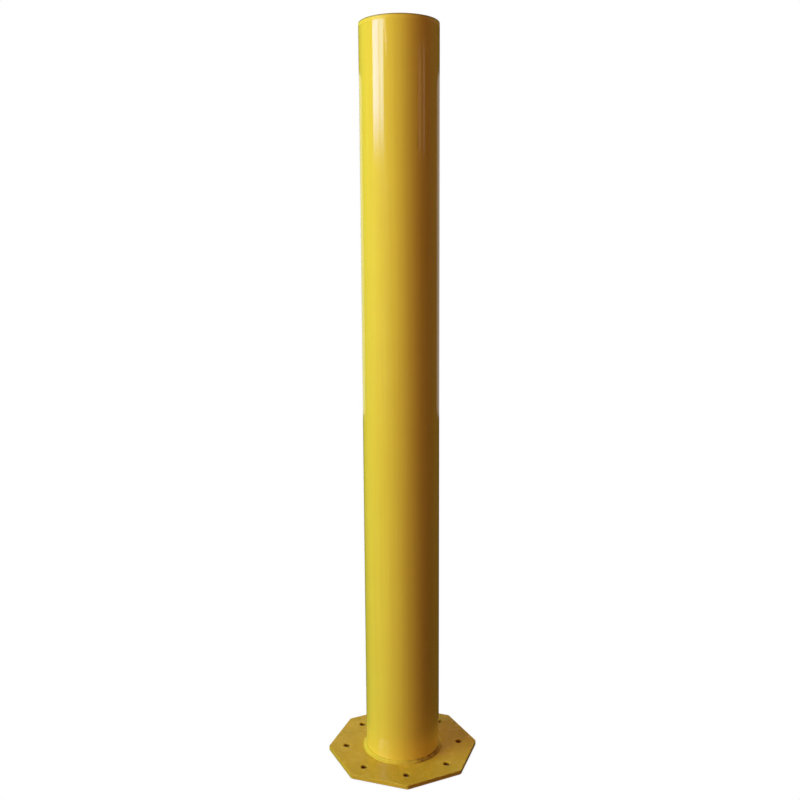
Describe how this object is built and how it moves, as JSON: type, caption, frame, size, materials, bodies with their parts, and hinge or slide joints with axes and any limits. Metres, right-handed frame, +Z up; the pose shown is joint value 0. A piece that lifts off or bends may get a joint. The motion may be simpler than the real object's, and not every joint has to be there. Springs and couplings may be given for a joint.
{
  "type": "safety bollard",
  "caption": "Round steel safety bollard with a closed flat top, welded upright on an octagonal base plate with bolt holes, painted yellow.",
  "frame": {"origin": "on the ground, at the centre of the base plate's underside", "axes": "+Z up along the post; +X and +Y each square to one flat of the octagonal plate; a bolt hole lies 22.5 degrees either side of each axis"},
  "size_m": [0.216, 0.216, 1.0922],
  "materials": {
    "post_paint": "gloss safety yellow enamel on steel pipe",
    "cap_paint": "gloss safety yellow enamel on a ground steel disc",
    "cap_weld_paint": "safety yellow enamel on weld metal ground flush",
    "plate_paint": "gloss safety yellow enamel on rolled steel plate, slightly dulled",
    "base_weld_paint": "safety yellow enamel over a rippled, unground weld bead"
  },
  "bodies": {
    "root": {"post_tube": "post_paint", "top_cap": "cap_paint", "cap_weld": "cap_weld_paint", "base_plate": "plate_paint", "base_weld_run_1": "base_weld_paint", "base_weld_run_2": "base_weld_paint", "base_weld_run_3": "base_weld_paint"}
  },
  "joints": []
}
